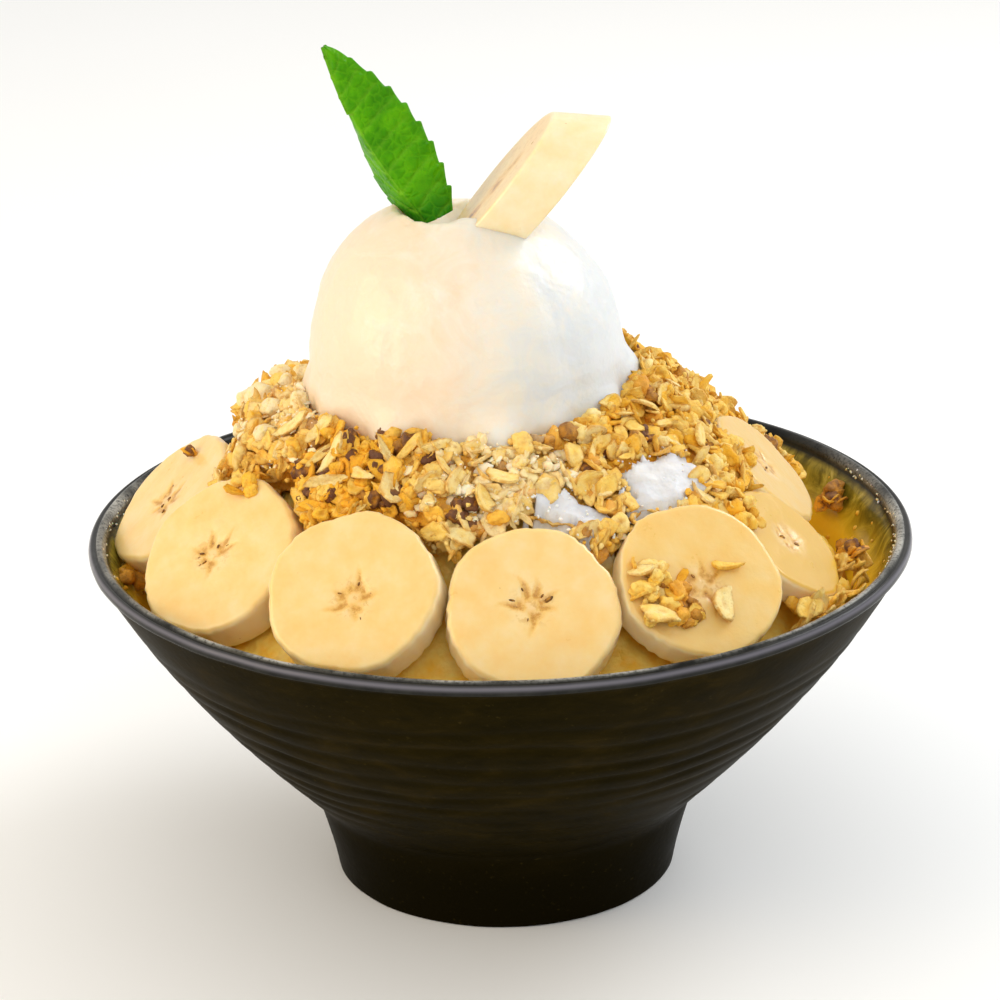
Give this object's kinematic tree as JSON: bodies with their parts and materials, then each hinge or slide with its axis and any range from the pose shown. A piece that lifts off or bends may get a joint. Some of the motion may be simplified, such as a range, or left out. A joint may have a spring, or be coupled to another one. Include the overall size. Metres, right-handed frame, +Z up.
{
  "type": "shaved ice dessert in a bowl",
  "caption": "Footed stoneware bowl of shaved ice under toasted oat granola, ringed with banana slices and topped by an ice cream ball, a mint leaf and a slanted banana piece.",
  "frame": {"origin": "centre of the underside of the bowl's foot, on the surface it stands on", "axes": "+Z up, -Y the front that the picture shows, +X to its right"},
  "size_m": [0.17, 0.17, 0.1781],
  "materials": {
    "bowl_glaze": "dark brown-black stoneware glaze, satin outside, glossier at the lip",
    "ice": "fine shaved ice, matt with small sparkles",
    "oats": "toasted oat flakes and clusters, lightly glazed",
    "cream": "vanilla ice cream just starting to melt, smooth and moist",
    "mint": "fresh veined leaf",
    "banana_flesh": "moist cut banana with darker seeds"
  },
  "bodies": {
    "root": {"bowl": "bowl_glaze", "shaved_ice": "ice", "granola": "oats", "ice_cream": "cream", "mint_leaf": "mint", "banana_top": "banana_flesh", "banana_slice_01": "banana_flesh", "banana_slice_02": "banana_flesh", "banana_slice_03": "banana_flesh", "banana_slice_04": "banana_flesh", "banana_slice_05": "banana_flesh", "banana_slice_06": "banana_flesh", "banana_slice_07": "banana_flesh", "banana_slice_08": "banana_flesh", "banana_slice_09": "banana_flesh", "banana_slice_10": "banana_flesh", "banana_slice_11": "banana_flesh"}
  },
  "joints": []
}
